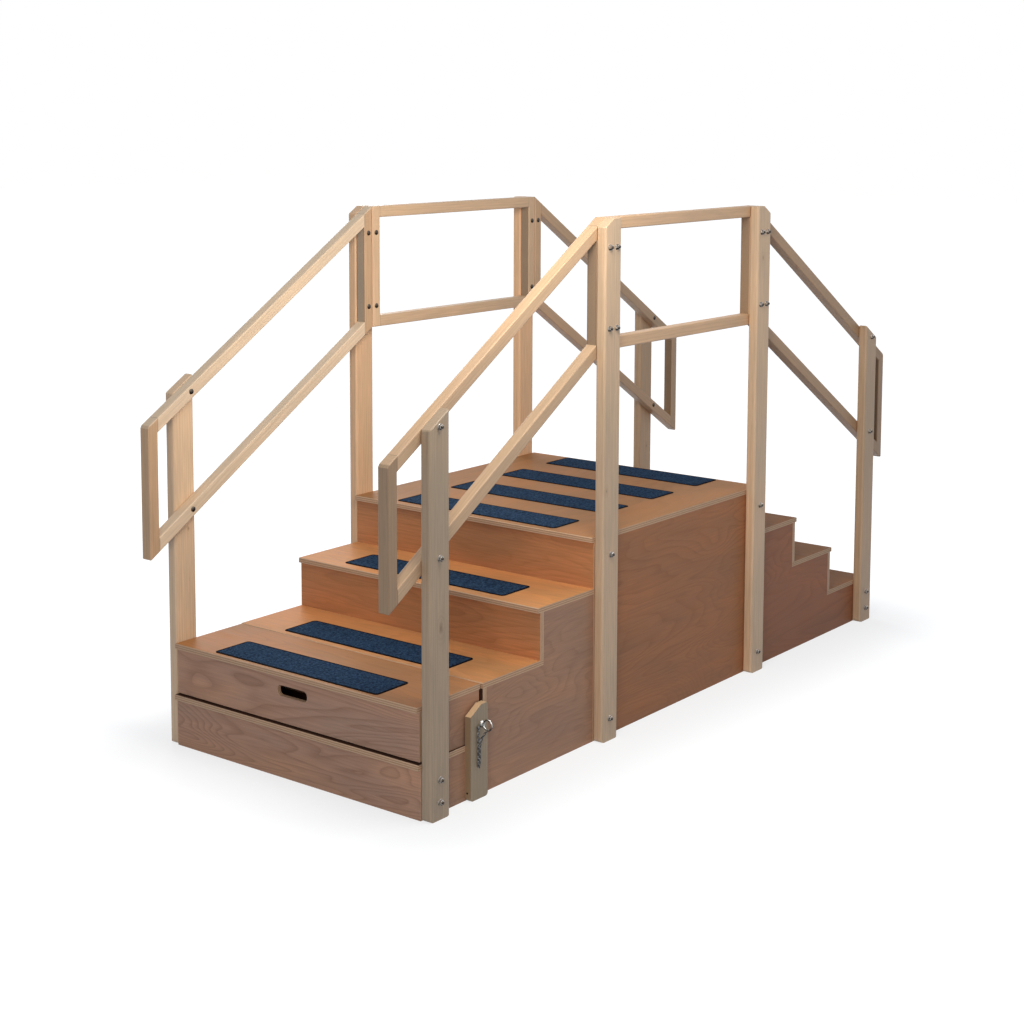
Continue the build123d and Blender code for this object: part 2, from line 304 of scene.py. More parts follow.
def ply_edge_group():
    """Layers of a board's edge. Depth runs from 0 to 1 through the board."""
    inputs = (("Vector", "Vector", None), ("Depth", "Float", 0.5), ("Layers", "Float", 9.0))
    outputs = (("Dark layer", "Float"), ("Glue line", "Float"))
    tree, source, sink = new_group("Ply edge", inputs, outputs)
    waver = tree.noise(source["Vector"], scale=9.0, detail=2.0)
    depth = tree.math("MULTIPLY_ADD", tree.math("SUBTRACT", waver, 0.5), 0.03, source["Depth"])
    layer = tree.math("MULTIPLY", depth, source["Layers"])
    parity = tree.math("MODULO", tree.math("FLOOR", layer), 2.0)
    streak = tree.noise(source["Vector"], scale=220.0, detail=2.0)
    tree.feed(sink["Dark layer"], tree.math("MULTIPLY", parity, tree.spread(streak, 0.2, 0.7, 0.55, 1.0)))
    middle = tree.math("ABSOLUTE", tree.math("SUBTRACT", tree.math("FRACT", layer), 0.5))
    tree.feed(sink["Glue line"], tree.spread(middle, 0.36, 0.48))
    return tree.tree


def grit_group():
    """Mineral grit: speckles of light and dark grains, and their height."""
    inputs = (("Vector", "Vector", None), ("Grain size", "Float", 0.0011))
    outputs = (("Speckle", "Float"), ("Cast", "Float"), ("Height", "Float"))
    tree, source, sink = new_group("Grit", inputs, outputs)
    per_metre = tree.math("DIVIDE", 1.0, source["Grain size"])
    grains = tree.add("ShaderNodeTexVoronoi", {"Vector": source["Vector"], "Scale": per_metre})
    tone = tree.split(grains.outputs["Color"])
    tree.feed(sink["Speckle"], tone[0])
    tree.feed(sink["Cast"], tree.noise(source["Vector"], scale=130.0, detail=4.0, roughness=0.8))
    tree.feed(sink["Height"], tree.math("SUBTRACT", 1.0, grains.outputs["Distance"]))
    return tree.tree


# Shader groups that have been built, by name.
GROUPS = {}


def shared(name, build):
    """A shader group, built once and used by several materials."""
    if name not in GROUPS:
        GROUPS[name] = build()
    return GROUPS[name]


def new_material(name):
    """A material with an empty tree."""
    material = bpy.data.materials.new(name)
    material.use_nodes = True
    material.node_tree.nodes.clear()
    return material, Tree(material.node_tree)


# Depth of a finish's relief in metres, and how strongly the wood's fibres show in it.
FINE_RELIEF = 0.0003
GRIT_RELIEF = 0.0006
FIBRE_STRENGTH = 0.06


def close_material(tree, colour, roughness, height, strength, bump=FINE_RELIEF, **sockets):
    """Joins the values to a shader and an output. Sockets are set on the shader itself."""
    inputs = {"Base Color": colour, "Roughness": roughness}
    inputs.update({name.replace("_", " "): value for name, value in sockets.items()})
    shader = tree.add("ShaderNodeBsdfPrincipled", inputs)
    relief = tree.add("ShaderNodeBump", {"Height": height, "Distance": bump, "Strength": strength})
    tree.feed(shader.inputs["Normal"], relief.outputs[0])
    tree.add("ShaderNodeOutputMaterial", {"Surface": shader.outputs[0]})


def shade(colour, factor):
    """A colour made lighter or darker."""
    return tuple(min(1.0, c * factor) for c in colour)


def tinted(colour, factor, warmth):
    """A colour made lighter or darker, and warmer or cooler."""
    red, green, blue = colour
    return shade((red * warmth, green, blue / warmth), factor)


def extents(node):
    """Lowest and highest corner of a CAD node, and its size."""
    low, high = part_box(node)
    return low, high, high - low


def side_face(node, sign):
    """Y of a node's face towards the far side, or towards the near side where sign is -1."""
    low, high = extents(node)[:2]
    return high.y if sign > 0 else low.y


def grey(tree, value):
    """A value as a grey colour."""
    return tree.join(value, value, value)


def turned(tree, position, along, depth):
    """The position with its grain axis as X and its depth axis as Z."""
    parts = tree.split(position)
    across = 3 - along - depth
    return tree.join(parts[along], parts[across], parts[depth])


def upright_grain(tree, position):
    """The position on an upright piece, whose grain runs in Z, turned so that the grain runs in X."""
    parts = tree.split(position)
    return tree.join(parts[Z_AXIS], parts[X_AXIS], parts[Y_AXIS])


# Lightness and warmth of the dark and the light patches and of the growth rings.
VENEER_TONES = ((0.92, 0.94), (1.06, 1.05), (0.48, 1.12))
TIMBER_TONES = ((0.93, 0.98), (1.05, 1.02), (0.55, 1.1))


def figured(tree, colour, figure, contrast, tones):
    """A wood's colour with its patches, its growth rings and its fibres."""
    dark, light, ring = tones
    clouds = tree.spread(figure["Patches"], *PATCH_RANGE)
    ground = tree.mix(clouds, tinted(colour, *dark), tinted(colour, *light))
    wood = tree.mix(tree.math("MULTIPLY", figure["Rings"], contrast), ground, tinted(colour, *ring))
    streaks = tree.spread(figure["Fibre"], *NOISE_RANGE, 0.9, 1.08)
    return tree.mix(1.0, wood, grey(tree, streaks), "MULTIPLY")


def board_material(node, face, contrast, seed, rings, gloss=0.45, specular=0.16):
    """Plywood: veneer on the two faces, layers on the edges."""
    low, high, size = extents(node)
    order = sorted(range(3), key=lambda axis: size[axis])
    depth, along = order[0], order[2]
    material, tree = new_material(node)
    coordinates = tree.add("ShaderNodeTexCoord").outputs
    place = turned(tree, coordinates["Object"], along, depth)
    normal = tree.split(coordinates["Normal"])[depth]
    on_face = tree.spread(tree.math("ABSOLUTE", normal), 0.86, 0.94)
    figure = tree.placed(shared("wood", wood_figure_group), {
        "Vector": place, "Seed": float(seed), "Stretch": VENEER_REPEATS, "Ring count": rings,
    })
    veneer = figured(tree, face, figure, contrast, VENEER_TONES)
    share = tree.spread(tree.split(coordinates["Object"])[depth], low[depth], high[depth])
    layers = tree.placed(shared("ply", ply_edge_group), {
        "Vector": place, "Depth": share, "Layers": float(fittings().ply_layers),
    })
    edge = tree.mix(layers["Dark layer"], tuple(finish().ply_light), tuple(finish().ply_dark))
    edge = tree.mix(tree.math("MULTIPLY", layers["Glue line"], 0.3), edge, shade(finish().ply_dark, 0.5))
    colour = tree.mix(on_face, edge, veneer)
    roughness = tree.spread(figure["Fibre"], *NOISE_RANGE, gloss - 0.06, gloss + 0.1)
    close_material(
        tree, colour, roughness, height=figure["Fibre"], strength=FIBRE_STRENGTH, Specular_IOR_Level=specular
    )
    return material


def knot_group():
    """A knot: a dark eye, and rings round it. The centre is along and across the grain."""
    inputs = (("Vector", "Vector", None), ("Centre", "Vector", (0, 0, 0)), ("Size", "Float", 0.01))
    outputs = (("Eye", "Float"), ("Halo", "Float"))
    tree, source, sink = new_group("Knot", inputs, outputs)
    offset = tree.vector("SUBTRACT", source["Vector"], source["Centre"])
    offset = tree.vector("MULTIPLY", offset, (0.55, 1.0, 0.0))
    wobble = tree.math("MULTIPLY", tree.noise(source["Vector"], scale=90.0), source["Size"])
    reach = tree.math("DIVIDE", tree.math("ADD", tree.vector("LENGTH", offset), wobble), source["Size"])
    tree.feed(sink["Eye"], tree.spread(reach, 0.7, 1.3, 1.0, 0.0))
    rings = tree.math("ABSOLUTE", tree.math("SINE", tree.math("MULTIPLY", reach, 3.6)))
    tree.feed(sink["Halo"], tree.math("MULTIPLY", rings, tree.spread(reach, 1.2, 4.0, 1.0, 0.0)))
    return tree.tree


# How strongly the growth rings show in solid timber.
TIMBER_CONTRAST = 0.3


def timber_material(name, colour, seed, place_of, joints_of=None, knot=None, faces_of=None):
    """Solid timber. place_of turns the object's position so that the grain runs in X."""
    material, tree = new_material(name)
    position = tree.add("ShaderNodeTexCoord").outputs["Object"]
    figure = tree.placed(shared("wood", wood_figure_group), {
        "Vector": place_of(tree, position), "Seed": float(seed), "Stretch": TIMBER_REPEATS,
        "Ring count": 9.0, "Straight": (0.0, 13.0, 9.0),
    })
    wood = figured(tree, colour, figure, TIMBER_CONTRAST, TIMBER_TONES)
    if joints_of:
        wood = tree.mix(joints_of(tree, position), wood, shade(colour, 0.3))
    if knot:
        along, across, size = knot
        marks = tree.placed(shared("knot", knot_group), {
            "Vector": place_of(tree, position), "Centre": (along, across, 0.0), "Size": size,
        })
        wood = tree.mix(tree.math("MULTIPLY", marks["Halo"], 0.3), wood, tinted(colour, 0.5, 1.15))
        wood = tree.mix(tree.math("MULTIPLY", marks["Eye"], 0.6), wood, tinted(colour, 0.3, 1.2))
    if faces_of:
        wood = faces_of(tree, wood)
    roughness = tree.spread(figure["Fibre"], *NOISE_RANGE, 0.38, 0.54)
    close_material(
        tree, wood, roughness, height=figure["Fibre"], strength=FIBRE_STRENGTH, Specular_IOR_Level=0.35,
        Coat_Weight=0.06, Coat_Roughness=0.3,
    )
    return material


def metal_material(name, bright, dark, low, high, scale, facing=(-0.35, 0.6)):
    """Plated steel with an uneven polish, of a roughness from low to high.

    Its colour holds painted shade where it faces down and painted light where it faces up. facing is the
    range of the normal's Z between the two.
    """
    material, tree = new_material(name)
    coordinates = tree.add("ShaderNodeTexCoord").outputs
    smear = tree.noise(coordinates["Object"], scale=scale, detail=3.0)
    # Painted light and shade: brighter where the surface faces up, darker where it faces down.
    painted_light_share = tree.spread(tree.split(coordinates["Normal"])[Z_AXIS], *facing)
    tint = tree.mix(tree.math("MULTIPLY", painted_light_share, tree.spread(smear, 0.25, 0.6, 0.7, 1.0)), dark, bright)
    roughness = tree.spread(smear, *NOISE_RANGE, low, high)
    close_material(tree, tint, roughness, height=smear, strength=0.05, Metallic=1.0)
    return material


def dress(node, material):
    """Gives a CAD node one material in every slot."""
    mesh = NODES[node].data
    if not mesh.materials:
        mesh.materials.append(material)
    for index in range(len(mesh.materials)):
        mesh.materials[index] = material


# Corners this near are one corner, and edges sharper than this angle are eased.
WELD_REACH = 0.00001
EASED_ANGLE = math.radians(40)


def ease(node, width):
    """Sanded arrises on a board, by modifiers alone."""
    piece = NODES[node]
    weld = piece.modifiers.new("joined corners", "WELD")
    weld.merge_threshold = WELD_REACH
    bevel = piece.modifiers.new("sanded arris", "BEVEL")
    bevel.width = width
    bevel.segments = 2
    bevel.limit_method = "ANGLE"
    bevel.angle_limit = EASED_ANGLE
    bevel.harden_normals = False


# Mesh making

def around(steps):
    """Cosine and sine at each step of a full turn."""
    angles = [2 * math.pi * step / steps for step in range(steps)]
    return [(math.cos(angle), math.sin(angle)) for angle in angles]


def revolve(mesh, profile, place, steps):
    """Adds a turned piece. The profile is (radius, height) from foot to top, closed where a radius is 0."""
    rows = []
    for radius, height in profile:
        if radius == 0:
            rows.append([mesh.verts.new(place @ Vector((0, 0, height)))] * steps)
            continue
        points = [Vector((radius * cosine, radius * sine, height)) for cosine, sine in around(steps)]
        rows.append([mesh.verts.new(place @ point) for point in points])
    for low, high in zip(rows, rows[1:]):
        for index in range(steps):
            after = (index + 1) % steps
            corners = []
            for vertex in (low[index], low[after], high[after], high[index]):
                if vertex not in corners:
                    corners.append(vertex)
            if len(corners) > 2:
                mesh.faces.new(corners)


def wire_loop(mesh, centres, radius, sides):
    """Adds a closed ring of round wire through the centres, which lie in one plane."""
    count = len(centres)
    middle = sum(centres, Vector()) / count
    flat = (centres[0] - middle).cross(centres[1] - middle).normalized()
    rows = []
    for index, centre in enumerate(centres):
        run = (centres[(index + 1) % count] - centres[index - 1]).normalized()
        out = run.cross(flat).normalized()
        spokes = [cosine * out + sine * flat for cosine, sine in around(sides)]
        rows.append([mesh.verts.new(centre + radius * spoke) for spoke in spokes])
    for index, row in enumerate(rows):
        following = rows[(index + 1) % count]
        for step in range(sides):
            after = (step + 1) % sides
            mesh.faces.new((row[step], row[after], following[after], following[step]))


def add_object(name, data):
    """An object of the scene, made from its data."""
    item = bpy.data.objects.new(name, data)
    bpy.context.scene.collection.objects.link(item)
    return item


def mesh_piece(name, mesh, materials, body, smooth_angle=40):
    """Turns a mesh in the making into a piece that rides on a body, or on none."""
    bmesh.ops.recalc_face_normals(mesh, faces=mesh.faces)
    data = bpy.data.meshes.new(name)
    mesh.to_mesh(data)
    mesh.free()
    data.shade_smooth()
    data.set_sharp_from_angle(angle=math.radians(smooth_angle))
    for material in materials:
        data.materials.append(material)
    piece = add_object(name, data)
    if body:
        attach(piece, body)
    return piece


def outward(x, y, z, sign):
    """A place whose own Z points out of a side, at that point."""
    return Matrix.Translation((x, y, z)) @ Matrix.Rotation(-sign * math.pi / 2, 4, "X")


# Each piece's lightness and warmth, where they differ from the rest: partly the wood's own tone, partly
# painted light and shade, such as the darker right treads and the brighter far posts.
TONES_AND_PAINTED_LIGHT = {
    "post_near_1": (0.66, 0.94),
    "post_near_2": (0.87, 0.97),
    "post_near_4": (0.82, 1.03),
    "post_far_1": (1.1, 0.98),
    "post_far_2": (1.0, 1.08),
    "post_far_3": (1.2, 1.12),
    "post_far_4": (0.85, 1.03),
    "handrail_near_left": (0.8, 1.02),
    "handrail_near_middle": (0.88, 1.08),
    "handrail_near_right": (0.6, 1.12),
    "handrail_far_left": (1.2, 0.91),
    "handrail_far_middle": (0.97, 1.02),
    "handrail_far_right": (0.82, 1.07),
    "box_top_board": (0.76, 1.02),
    "left_tread_1": (1.07, 1.0),
    "left_tread_2": (1.17, 1.0),
    "platform_deck": (0.79, 0.97),
    "right_tread_1": (0.42, 1.05),
    "right_tread_2": (0.42, 1.05),
    "right_tread_3": (0.42, 1.05),
}

# Painted shade on the sides of a frame's uprights: their lightness and warmth against the bars, where they
# differ.
STILE_PAINTED_SHADE = {"handrail_near_left": (0.64, 1.03), "handrail_far_left": (0.64, 1.2)}

# Seeds of the wood's figure: the first of each kind of piece, and the step from one to the next.
BOARD_SEED, BOARD_SEED_STEP = 1.0, 1.37
TREAD_SEED, TREAD_SEED_STEP = 40, 2.3
POST_SEED, POST_SEED_STEP = 70, 3.1
HANDRAIL_SEED, HANDRAIL_SEED_STEP = 120, 2.7
BLOCK_SEED = 211.0


def toned_with_painted_light(name, colour):
    """A colour as this piece of wood shows it: its own tone with the painted light and shade of its place."""
    return tinted(tuple(colour), *TONES_AND_PAINTED_LIGHT.get(name, (1.0, 1.0)))


# Boards and treads

def dress_boards():
    """Veneers the boards. The plan gives each group's colour, the contrast of its rings and their count."""
    colours = finish()
    plan = (
        (FRONT_BOARDS, colours.front_veneer, 0.6, 52.0),
        (RISERS, colours.riser_veneer_and_painted_bounce, 0.32, 34.0),
        # The riser behind the box gets the dark face of painted shade.
        (HIDDEN_RISERS, colours.painted_shade_face, 0.2, 34.0),
        (BACK_RISERS, colours.riser_veneer_and_painted_bounce, 0.35, 34.0),
        (INNER_BOARDS, colours.front_veneer, 0.4, 40.0),
        (LEFT_SIDES, colours.side_veneer, 0.34, 38.0),
        (PLATFORM_SIDES, colours.platform_veneer, 0.36, 36.0),
        (RIGHT_SIDES, colours.right_veneer, 0.36, 36.0),
    )
    seed = BOARD_SEED
    for names, colour, contrast, rings in plan:
        for name in names:
            seed += BOARD_SEED_STEP
            dress(name, board_material(name, tuple(colour), contrast, seed, rings))
            ease(name, fittings().board_ease)


def dress_treads():
    """Veneers the treads and the deck, and gives the board that the box slides on a dark face of painted
    shade.
    """
    for index, name in enumerate(TREADS):
        # The board under the box gets the dark face of painted shade.
        face = finish().painted_shade_face if name == "base_top_board" else finish().tread_veneer
        seed = TREAD_SEED + TREAD_SEED_STEP * index
        dress(name, board_material(name, toned_with_painted_light(name, face), 0.22, seed, 24.0, gloss=0.48, specular=0.05))
        ease(name, fittings().board_ease)


# Posts and handrails

# Height of a post's knot, its distance from the post's middle, and its size.
KNOTS = {
    "post_near_1": (0.503, 0.004, 0.0095),
    "post_near_2": (0.735, -0.026, 0.004),
    "post_near_3": (1.345, -0.008, 0.006),
    "post_far_1": (0.62, 0.012, 0.005),
    "post_far_3": (1.1, -0.01, 0.005),
    "post_far_4": (0.52, 0.006, 0.004),
}


def dress_posts():
    """Hardwood posts, some of them with a knot."""
    for index, name in enumerate(POSTS):
        low, high = extents(name)[:2]
        knot = None
        if name in KNOTS:
            height, across, size = KNOTS[name]
            knot = (height, (low.x + high.x) / 2 + across, size)
        wood = toned_with_painted_light(name, finish().hardwood)
        seed = POST_SEED + POST_SEED_STEP * index
        dress(name, timber_material(name, wood, seed, upright_grain, knot=knot))


def bar_size():
    """Size of a handrail's bar, from the thickness of its frame."""
    return extents("handrail_near_middle")[2][Y_AXIS]


def frame_slope(name):
    """Rise over run of a handrail frame, from the level frame's height and its own."""
    size = extents(name)[2]
    height = extents("handrail_near_middle")[2].z
    direction = {"left": 1, "middle": 0, "right": -1}[name.rsplit("_", 1)[1]]
    return direction * (size.z - height) / size.x


def dress_handrail(name, seed):
    """Dresses one frame: its grain follows the bars and the uprights, with a dark line where they join."""
    bar = bar_size()
    low, high = extents(name)[:2]
    seams = (low.x + bar, high.x - bar)
    tilt = math.atan(frame_slope(name))

    def stiles(tree, position):
        """1 on the frame's two uprights, and 0 on its bars."""
        x = tree.split(position)[X_AXIS]
        at_low = tree.math("LESS_THAN", x, seams[0])
        at_high = tree.math("GREATER_THAN", x, seams[1])
        return tree.math("MAXIMUM", at_low, at_high)

    def grain(tree, position):
        """The position, turned so that the grain of bars and uprights alike runs in X."""
        along = tree.vector("DOT_PRODUCT", position, (math.cos(tilt), 0, math.sin(tilt)))
        across = tree.vector("DOT_PRODUCT", position, (-math.sin(tilt), 0, math.cos(tilt)))
        rail = tree.join(along, across, tree.split(position)[Y_AXIS])
        return tree.mix(stiles(tree, position), rail, upright_grain(tree, position))

    def joints(tree, position):
        """How dark the line is where a bar meets an upright."""
        x = tree.split(position)[X_AXIS]
        gaps = [tree.math("ABSOLUTE", tree.math("SUBTRACT", x, seam)) for seam in seams]
        return tree.spread(tree.math("MINIMUM", *gaps), 0.0003, 0.0009, 0.7, 0.0)

    def stile_painted_shade(tree, wood):
        """Painted shade on the uprights' sides in some frames, darker than the bars, though not on top."""
        coordinates = tree.add("ShaderNodeTexCoord").outputs
        shaded_side = tree.spread(tree.split(coordinates["Normal"])[Z_AXIS], 0.3, 0.6, 1.0, 0.1)
        share = tree.math("MULTIPLY", stiles(tree, coordinates["Object"]), shaded_side)
        tone = tinted((1.0, 1.0, 1.0), *STILE_PAINTED_SHADE[name])
        return tree.mix(share, wood, tree.mix(1.0, wood, tone, "MULTIPLY"))

    dress(name, timber_material(
        name, toned_with_painted_light(name, finish().hardwood), seed, grain, joints_of=joints,
        faces_of=stile_painted_shade if name in STILE_PAINTED_SHADE else None,
    ))


def dress_handrails():
    """Hardwood handrail frames, each with a figure of its own."""
    for index, name in enumerate(HANDRAILS):
        dress_handrail(name, HANDRAIL_SEED + HANDRAIL_SEED_STEP * index)


# Grip strips

def strip_boxes(node):
    """Corners of each strip in a node, found from its separate solids."""
    mesh = bmesh.new()
    mesh.from_mesh(NODES[node].data)
    bmesh.ops.remove_doubles(mesh, verts=mesh.verts, dist=WELD_REACH)
    boxes = []
    left = set(mesh.verts)
    while left:
        found = [left.pop()]
        for vertex in found:
            for edge in vertex.link_edges:
                other = edge.other_vert(vertex)
                if other in left:
                    left.remove(other)
                    found.append(other)
        low = Vector([min(v.co[axis] for v in found) for axis in range(3)])
        high = Vector([max(v.co[axis] for v in found) for axis in range(3)])
        boxes.append((low, high))
    mesh.free()
    return sorted(boxes, key=lambda box: box[0].x)


# A strip's corner radius, the bevel of its rim, and the border's rise from there to the field.
STRIP_CORNER = 0.012
STRIP_CORNER_STEPS = 6
STRIP_SLOPE = 0.0006
STRIP_CROWN = 0.0001


def strip_outline(low, high, inset, height):
    """Points of a strip's outline, a rectangle with round corners, moved inwards by the inset."""
    radius = STRIP_CORNER
    points = []
    corner_centres = (
        (high.x - radius, high.y - radius), (low.x + radius, high.y - radius),
        (low.x + radius, low.y + radius), (high.x - radius, low.y + radius),
    )
    for corner, (x, y) in enumerate(corner_centres):
        for step in range(STRIP_CORNER_STEPS + 1):
            angle = math.pi / 2 * (corner + step / STRIP_CORNER_STEPS)
            reach = radius - inset
            points.append(Vector((x + reach * math.cos(angle), y + reach * math.sin(angle), height)))
    return points


def build_strip(mesh, low, high):
    """One strip: a flat gritty field inside a sealed border with a bevelled rim."""
    levels = (
        (0, low.z), (0, high.z - STRIP_SLOPE), (STRIP_SLOPE, high.z - STRIP_CROWN),
        (fittings().strip_border, high.z),
    )
    rows = []
    for inset, height in levels:
        rows.append([mesh.verts.new(point) for point in strip_outline(low, high, inset, height)])
    for lower, upper in zip(rows, rows[1:]):
        for index, vertex in enumerate(lower):
            after = (index + 1) % len(lower)
            mesh.faces.new((vertex, lower[after], upper[after], upper[index])).material_index = 1
    mesh.faces.new(rows[-1]).material_index = 0
    mesh.faces.new(reversed(rows[0])).material_index = 1


# Size of the grit's grains, and the colours of its patchy cast.
GRAIN_SIZE = 0.0021
CAST_DARK = "070D18"
CAST_PALE = "4A6782"


def strip_materials():
    """The gritty field, with a patchy blue cast, and the sealed border round it."""
    colours = finish()
    grit, tree = new_material("grip grit")
    position = tree.add("ShaderNodeTexCoord").outputs["Object"]
    grains = tree.placed(shared("grit", grit_group), {"Vector": position, "Grain size": GRAIN_SIZE})
    base = tuple(colours.grip)
    tint = tree.mix(tree.spread(grains["Speckle"], 0.1, 0.9), shade(base, 0.3), shade(base, 2.6))
    cast = tree.mix(tree.spread(grains["Cast"], 0.38, 0.64), hex_colour(CAST_DARK), hex_colour(CAST_PALE))
    field = tree.mix(0.55, tint, cast)
    close_material(
        tree, field, 0.8, height=grains["Height"], strength=0.8, bump=GRIT_RELIEF, Specular_IOR_Level=0.01
    )
    rim, tree = new_material("grip border")
    position = tree.add("ShaderNodeTexCoord").outputs["Object"]
    scuff = tree.noise(position, scale=90.0, detail=3.0)
    border = tuple(colours.grip_border)
    tone = tree.mix(tree.spread(scuff, 0.4, 0.7), border, shade(border, 2.2))
    close_material(tree, tone, 0.75, height=scuff, strength=0.2, Specular_IOR_Level=0.01)
    return [grit, rim]


def build_grip_strips():
    """Gritty strips in place of the plain ones."""
    materials = strip_materials()
    for node, body in STRIP_NODES.items():
        mesh = bmesh.new()
        for low, high in strip_boxes(node):
            build_strip(mesh, low, high)
        piece = mesh_piece(f"{node}_gritty", mesh, materials, body, smooth_angle=25)
        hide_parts(node)


# Bolts

def handrail_top(x):
    """Height of the handrail's top line over a place along the stairs."""
    knee = extents("handrail_near_left")[1]
    slope = abs(frame_slope("handrail_near_left"))
    return knee.z - slope * max(0.0, abs(x) - abs(knee.x))


def bolt_places():
    """(x, z) of each bolt through a frame, and of each that only holds a post."""
    top_line = extents("handrail_near_left")[1].z
    height = extents("handrail_near_middle")[2].z
    bar = bar_size()
    upright_bar = bar * math.hypot(1, frame_slope("handrail_near_left"))
    through, feet = [], []
    for index in (1, 2, 3, 4):
        post_low, post_high = extents(f"post_near_{index}")[:2]
        middle = (post_low.x + post_high.x) / 2
        if index in (1, 4):
            top = handrail_top(middle)
            through += [(middle, top - upright_bar / 2), (middle, top - height + upright_bar / 2)]
            feet += [(middle, z) for z in fittings().foot_bolt_heights]
        else:
            for side in (-1, 1):
                x = middle + side * bar / 2
                through += [(x, top_line - fittings().knee_bolt_drop)]
                through += [(x, top_line - height + fittings().knee_bolt_rise)]
            feet += [(middle, z) for z in fittings().platform_bolt_heights]
    return through, feet


# Fasteners: lengths in metres, the nut's turn in radians, and steps of a full turn.
BEVEL = 0.0008
WASHER_BEVEL = 0.0005
WASHER_WALL = 0.7  # share of a washer's thickness below its bevel
NUT_CHAMFER = 0.0009
NUT_CHAMFER_RUN = 1.6  # width of the chamfer against its height
NUT_SIDES = 6
NUT_TURN = 0.4
DOME_RISE = 0.42  # height of a head against its radius
DOME_WALL = 0.18  # share of a head's height that is upright
DOME_RINGS = 6
WASHER_STEPS = 28
HEAD_STEPS = 24
SCREW_STEPS = 20


def add_nut(mesh, place):
    """Washer, nut and bolt end, standing on a face."""
    sizes = fittings()
    thick, tall = sizes.washer_thickness, sizes.nut_height
    washer = [(0, 0), (sizes.washer_radius, 0), (sizes.washer_radius, thick * WASHER_WALL)]
    washer += [(sizes.washer_radius - WASHER_BEVEL, thick), (0, thick)]
    revolve(mesh, washer, place, WASHER_STEPS)
    radius = sizes.nut_radius
    nut = [(0, 0), (radius, 0), (radius, tall - NUT_CHAMFER)]
    nut += [(radius - NUT_CHAMFER_RUN * NUT_CHAMFER, tall), (0, tall)]
    nut_place = place @ Matrix.Translation((0, 0, thick)) @ Matrix.Rotation(NUT_TURN, 4, "Z")
    revolve(mesh, nut, nut_place, NUT_SIDES)
    end, length = sizes.thread_radius, sizes.thread_length
    thread = [(0, 0), (end, 0), (end, length - BEVEL), (end - BEVEL, length), (0, length)]
    first = len(mesh.faces)
    revolve(mesh, thread, place @ Matrix.Translation((0, 0, thick + tall)), SCREW_STEPS)
    mesh.faces.ensure_lookup_table()
    for face in mesh.faces[first:]:
        face.material_index = 1


def add_dome(mesh, place):
    """Domed bolt head, standing on a face: a low wall, and a dome over it."""
    radius = fittings().bolt_head_radius
    rise = radius * DOME_RISE
    profile = [(0, 0), (radius, 0), (radius, rise * DOME_WALL)]
    for step in range(1, DOME_RINGS):
        angle = math.pi / 2 * step / DOME_RINGS
        profile.append((radius * math.cos(angle), rise * (DOME_WALL + (1 - DOME_WALL) * math.sin(angle))))
    profile.append((0, rise))
    revolve(mesh, profile, place, HEAD_STEPS)


def build_bolts():
    """Nuts on the posts' outer faces, and domed heads on the frames' inner faces."""
    through, feet = bolt_places()
    bright, shadow = hex_colour("C8C4C0"), hex_colour("14110F")
    # facing sets where the plating's painted shade turns into painted light.
    plated = metal_material("bright plating", bright, shadow, 0.18, 0.3, 220.0, facing=(-0.5, 0.38))
    dull = metal_material("dull bolt heads", hex_colour("6A625A"), hex_colour("181412"), 0.35, 0.5, 220.0)
    for side, sign in SIDES.items():
        outer = side_face(f"post_{side}_2", sign)
        inner = side_face(f"handrail_{side}_middle", -sign)
        nuts = bmesh.new()
        for x, z in through + feet:
            add_nut(nuts, outward(x, outer, z, sign))
        mesh_piece(f"bolt_nuts_{side}", nuts, [plated, dull], "stairs", smooth_angle=30)
        heads = bmesh.new()
        for x, z in through:
            add_dome(heads, outward(x, inner, z, -sign))
        mesh_piece(f"bolt_heads_{side}", heads, [dull], "stairs")


# Latches

def dress_blocks():
    """Weathered hardwood of the latch blocks, with painted light on their tops."""
    wood = tuple(finish().block_wood)

    def faces_with_painted_light(tree, face):
        """Painted light on the top faces, and darker, redder colour on the narrow faces."""
        normal = tree.split(tree.add("ShaderNodeTexCoord").outputs["Normal"])
        narrow = tree.spread(tree.math("ABSOLUTE", normal[X_AXIS]), 0.75, 0.95)
        face = tree.mix(tree.math("MULTIPLY", narrow, 0.8), face, tinted(wood, 0.85, 1.16))
        # Painted light: faces that point up are made much lighter.
        return tree.mix(tree.spread(normal[Z_AXIS], 0.3, 0.6, 0.0, 0.9), face, tinted(wood, 1.9, 1.14))

    material = timber_material("latch_blocks", wood, BLOCK_SEED, upright_grain, faces_of=faces_with_painted_light)
    dress("latch_blocks", material)


# The block screws' height above the block's foot, their radius, and how far their heads are dished.
BLOCK_SCREW_RISE = 0.022
BLOCK_SCREW_RADIUS = 0.0028
BLOCK_SCREW_DISH = 0.0003


def build_block_screws(metal):
    """A dark screw low on the narrow front face of each latch block."""
    low, high = extents("latch_blocks")[:2]
    wall = extents("box_side_near")[0].y
    radius, dish = BLOCK_SCREW_RADIUS, BLOCK_SCREW_DISH
    profile = [(0, 0), (radius, 0), (radius, dish), (radius - BEVEL, 2 * dish), (0, dish)]
    mesh = bmesh.new()
    for sign in SIDES.values():
        middle = sign * (abs(wall) + high.y) / 2
        place = Matrix.Translation((low.x, middle, low.z + BLOCK_SCREW_RISE))
        revolve(mesh, profile, place @ Matrix.Rotation(-math.pi / 2, 4, "Y"), SCREW_STEPS)
    mesh_piece("block_screws", mesh, [metal], "stairs")


def pin_places(side, sign):
    """Middle of the pull ring, the face that the collar stands on, and the ring's outer radius."""
    low, high, size = extents(f"pull_pin_{side}")
    face = side_face("latch_blocks", sign)
    tip = side_face(f"pull_pin_{side}", sign)
    outer = size.z / 2
    return Vector(((low.x + high.x) / 2, tip - sign * outer, (low.z + high.z) / 2)), face, outer


